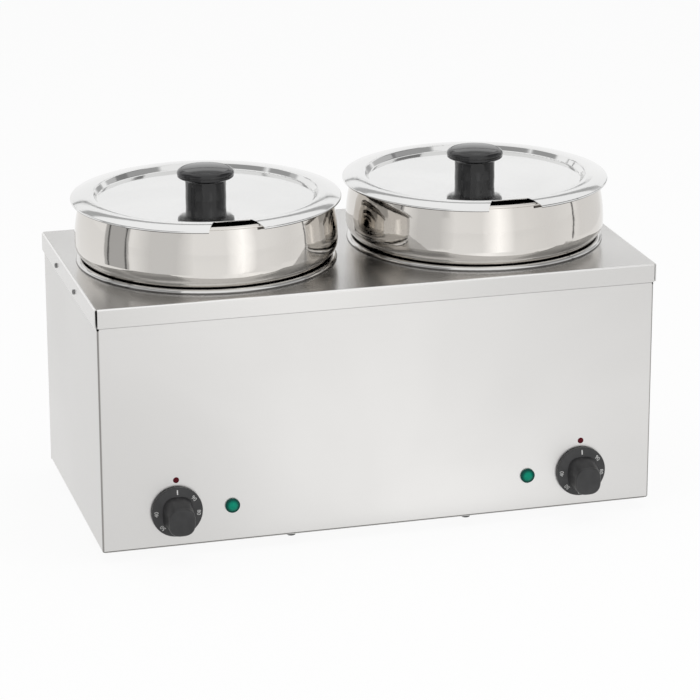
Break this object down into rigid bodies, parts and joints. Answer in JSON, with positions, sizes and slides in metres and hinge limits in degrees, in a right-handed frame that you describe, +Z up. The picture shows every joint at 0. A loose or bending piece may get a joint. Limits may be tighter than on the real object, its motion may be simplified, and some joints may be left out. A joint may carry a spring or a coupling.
{
  "type": "bain marie",
  "caption": "Electric countertop bain marie: a folded stainless housing with round water wells, lift-out lidded pots, thermostat knobs and pilot lamps on its front.",
  "frame": {"origin": "on the table under the middle of the whole part, knobs and cable gland included", "axes": "+Z up, +X along the front from the left pot to the right one, the knobs face -Y"},
  "size_m": [0.5448, 0.3094, 0.3354],
  "materials": {
    "stainless_panel": "satin stainless sheet with a fine brushed grain",
    "polished_deck": "bright polished stainless sheet",
    "polished_well": "deep-drawn stainless, polished bead",
    "polished_pot": "mirror-polished spun stainless",
    "satin_lid": "bright pressed stainless",
    "black_phenolic": "black phenolic moulding, semi-gloss",
    "green_lens": "clear green moulded lens",
    "lamp_holder": "natural nylon",
    "plated_fastener": "zinc plated",
    "heater_sheath": "dark annealed alloy sheath",
    "clamp_plate": "galvanised",
    "brown_moulding": "brown phenolic moulding",
    "copper_capillary": "bare copper",
    "white_terminal": "unglazed white steatite",
    "black_nylon": "moulded nylon",
    "foot_rubber": "moulded rubber"
  },
  "bodies": {
    "housing": {"body_shell": "stainless_panel", "rear_panel": "stainless_panel", "bottom_plate": "stainless_panel", "top_deck": "polished_deck", "water_well_left": "polished_well", "water_well_right": "polished_well", "lamp_lens_left": "green_lens", "lamp_lens_right": "green_lens", "lamp_body_left": "lamp_holder", "lamp_body_right": "lamp_holder", "deck_screws": "plated_fastener", "rear_panel_screws": "plated_fastener", "bottom_plate_screws": "plated_fastener", "foot_screws": "plated_fastener", "foot_nuts": "plated_fastener", "earth_stud": "plated_fastener", "terminal_screws": "plated_fastener", "heater_nut_left": "plated_fastener", "heater_nut_right": "plated_fastener", "thermostat_screws_left": "plated_fastener", "thermostat_screws_right": "plated_fastener", "bulb_clip_left": "plated_fastener", "bulb_clip_right": "plated_fastener", "lamp_clip_left": "plated_fastener", "lamp_clip_right": "plated_fastener", "heating_element_left": "heater_sheath", "heating_element_right": "heater_sheath", "heater_clamp_left": "clamp_plate", "heater_clamp_right": "clamp_plate", "safety_cutout_left": "brown_moulding", "safety_cutout_right": "brown_moulding", "thermostat_left": "brown_moulding", "thermostat_right": "brown_moulding", "thermostat_bulb_left": "copper_capillary", "thermostat_bulb_right": "copper_capillary", "terminal_block": "white_terminal", "cable_gland": "black_nylon", "gland_locknut": "black_nylon", "foot_front_left": "foot_rubber", "foot_front_right": "foot_rubber", "foot_rear_left": "foot_rubber", "foot_rear_right": "foot_rubber"},
    "knob_left": {"control_knob_left": "black_phenolic", "thermostat_shaft_left": "plated_fastener"},
    "pot_left": {"inset_pot_left": "polished_pot"},
    "lid_left": {"pot_lid_left": "satin_lid", "lid_knob_left": "black_phenolic", "lid_screw_left": "plated_fastener"},
    "knob_right": {"control_knob_right": "black_phenolic", "thermostat_shaft_right": "plated_fastener"},
    "pot_right": {"inset_pot_right": "polished_pot"},
    "lid_right": {"pot_lid_right": "satin_lid", "lid_knob_right": "black_phenolic", "lid_screw_right": "plated_fastener"}
  },
  "joints": [
    {"name": "knob_left_turn", "type": "hinge", "parent": "housing", "child": "knob_left", "pos_m": [-0.1975, -0.14, 0.046], "axis": [0, 1, 0], "range_deg": [0, 320]},
    {"name": "pot_left_lift", "type": "slide", "parent": "housing", "child": "pot_left", "axis": [0, 0, 1], "range_m": [0, 0.2]},
    {"name": "lid_left_lift", "type": "slide", "parent": "pot_left", "child": "lid_left", "axis": [0, 0, 1], "range_m": [0, 0.12]},
    {"name": "knob_right_turn", "type": "hinge", "parent": "housing", "child": "knob_right", "pos_m": [0.1975, -0.14, 0.046], "axis": [0, 1, 0], "range_deg": [0, 320]},
    {"name": "pot_right_lift", "type": "slide", "parent": "housing", "child": "pot_right", "axis": [0, 0, 1], "range_m": [0, 0.2]},
    {"name": "lid_right_lift", "type": "slide", "parent": "pot_right", "child": "lid_right", "axis": [0, 0, 1], "range_m": [0, 0.12]}
  ]
}
